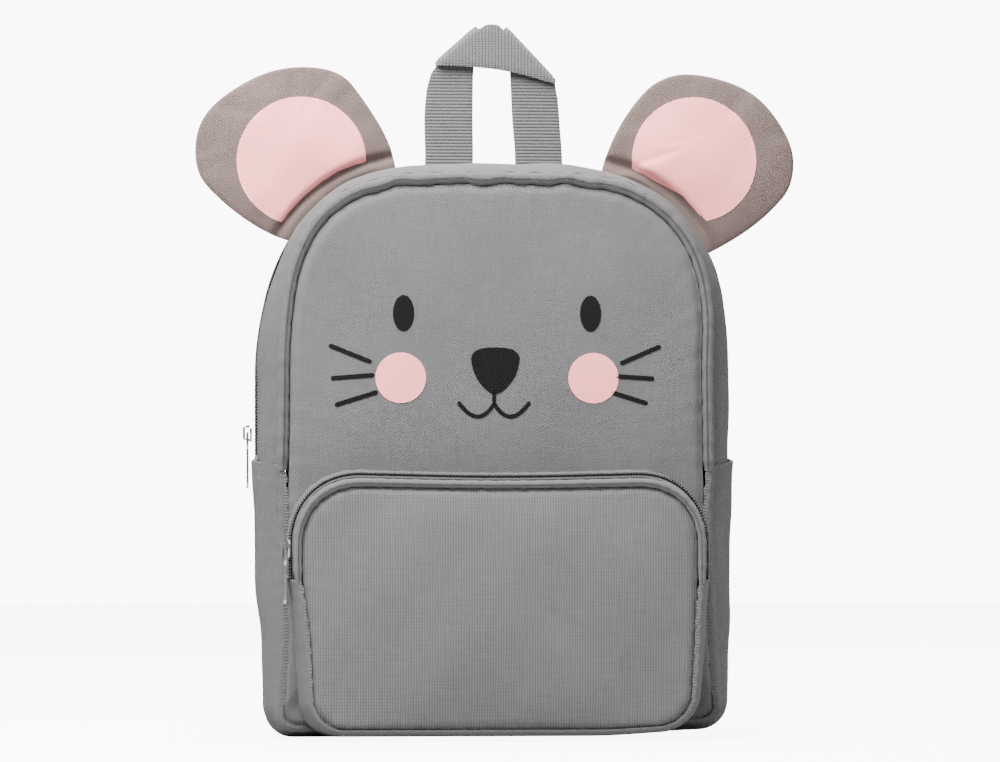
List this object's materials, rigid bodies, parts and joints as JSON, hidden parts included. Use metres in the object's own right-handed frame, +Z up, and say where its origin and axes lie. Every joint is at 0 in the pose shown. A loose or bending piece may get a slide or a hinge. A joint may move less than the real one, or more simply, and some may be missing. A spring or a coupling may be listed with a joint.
{
  "type": "kids animal backpack",
  "caption": "Small domed cloth backpack with a printed mouse face, round ears, a zipped front pocket, a folded webbing grab handle and padded shoulder straps.",
  "frame": {"origin": "the floor under the middle of the flat base", "axes": "+Z up the bag, -Y towards the printed face, +X to the right as seen from the front"},
  "size_m": [0.3028, 0.1661, 0.3651],
  "materials": {
    "grey_cloth": "matt plain-woven polyester, mid grey",
    "ear_cloth": "matt plain-woven polyester, warm grey with a pink print",
    "webbing": "ribbed grey webbing",
    "zip_tape": "fine dark zip tape",
    "zip_coil": "dark nylon coil",
    "nickel": "bright nickel plate",
    "black_plastic": "moulded black plastic"
  },
  "bodies": {
    "bag": {"front_panel": "grey_cloth", "back_panel": "grey_cloth", "front_edge_roll": "grey_cloth", "back_edge_roll": "grey_cloth", "gusset_front_strip": "grey_cloth", "gusset_back_strip": "grey_cloth", "gusset_base": "grey_cloth", "pocket_face": "grey_cloth", "pocket_edge_roll": "grey_cloth", "pocket_gusset_back": "grey_cloth", "pocket_gusset_base": "grey_cloth", "shoulder_strap_left": "grey_cloth", "shoulder_strap_right": "grey_cloth", "strap_tab_left": "grey_cloth", "strap_tab_right": "grey_cloth", "ear_left": "ear_cloth", "ear_right": "ear_cloth", "handle_webbing": "webbing", "strap_webbing_left": "webbing", "strap_webbing_right": "webbing", "main_zip_tape_front": "zip_tape", "main_zip_tape_back": "zip_tape", "pocket_zip_tape_front": "zip_tape", "pocket_zip_tape_back": "zip_tape", "main_zip_coil": "zip_coil", "pocket_zip_coil": "zip_coil", "main_zip_slider": "nickel", "pocket_zip_slider": "nickel", "strap_adjuster_left": "black_plastic", "strap_adjuster_right": "black_plastic"},
    "main_pull": {"main_zip_pull": "nickel"},
    "pocket_pull": {"pocket_zip_pull": "nickel"}
  },
  "joints": [
    {"name": "main_pull_swing", "type": "hinge", "parent": "bag", "child": "main_pull", "pos_m": [-0.12388, 0, 0.15298], "axis": [0, 1, 0], "range_deg": [0, 170]},
    {"name": "pocket_pull_swing", "type": "hinge", "parent": "bag", "child": "pocket_pull", "pos_m": [-0.10644, -0.06509, 0.095], "axis": [-0.1625, 0.9867, 0], "range_deg": [0, 170]}
  ]
}
